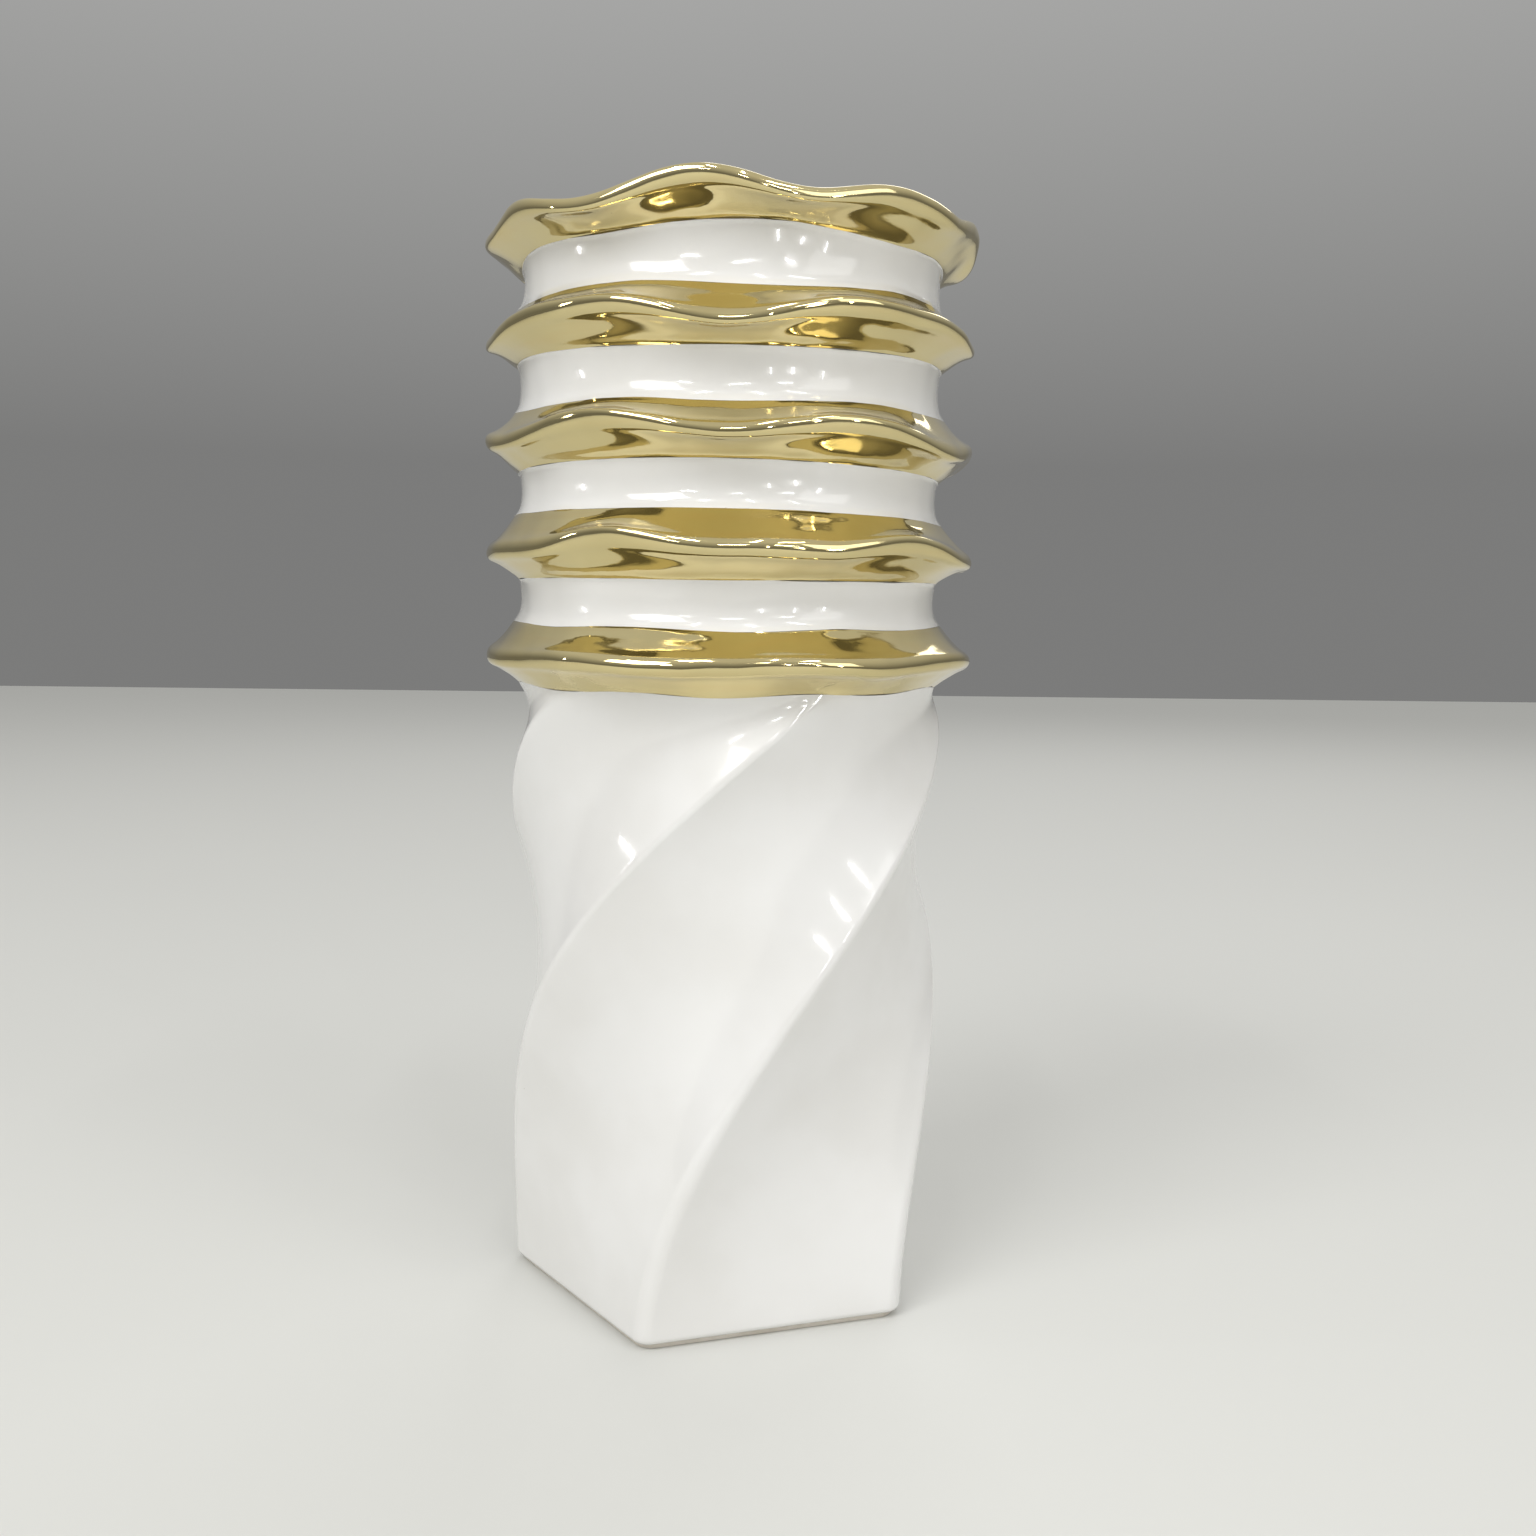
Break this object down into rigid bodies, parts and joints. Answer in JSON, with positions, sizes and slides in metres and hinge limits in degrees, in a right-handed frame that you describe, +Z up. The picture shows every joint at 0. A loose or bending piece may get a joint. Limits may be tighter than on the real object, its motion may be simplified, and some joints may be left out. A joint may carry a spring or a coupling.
{
  "type": "porcelain vase",
  "caption": "Hollow porcelain vase with a twisted flat-sided column under a round neck ringed by gold ruffles, open at a flared mouth.",
  "frame": {"origin": "centre of the foot, on the surface the vase stands on", "axes": "+Z up along the vase's axis, -Y towards the viewer of the front, +X to the viewer's right"},
  "size_m": [0.1576, 0.1574, 0.3412],
  "materials": {
    "white_glaze": "gloss",
    "gold_lustre": "polished",
    "unglazed_foot": "matte"
  },
  "bodies": {
    "root": {"foot_rim": "unglazed_foot", "twisted_body": "white_glaze", "gold_ruffle_1": "gold_lustre", "gold_ruffle_2": "gold_lustre", "gold_ruffle_3": "gold_lustre", "gold_ruffle_4": "gold_lustre", "gold_ruffle_5": "gold_lustre", "white_band_1": "white_glaze", "white_band_2": "white_glaze", "white_band_3": "white_glaze", "white_band_4": "white_glaze"}
  },
  "joints": []
}
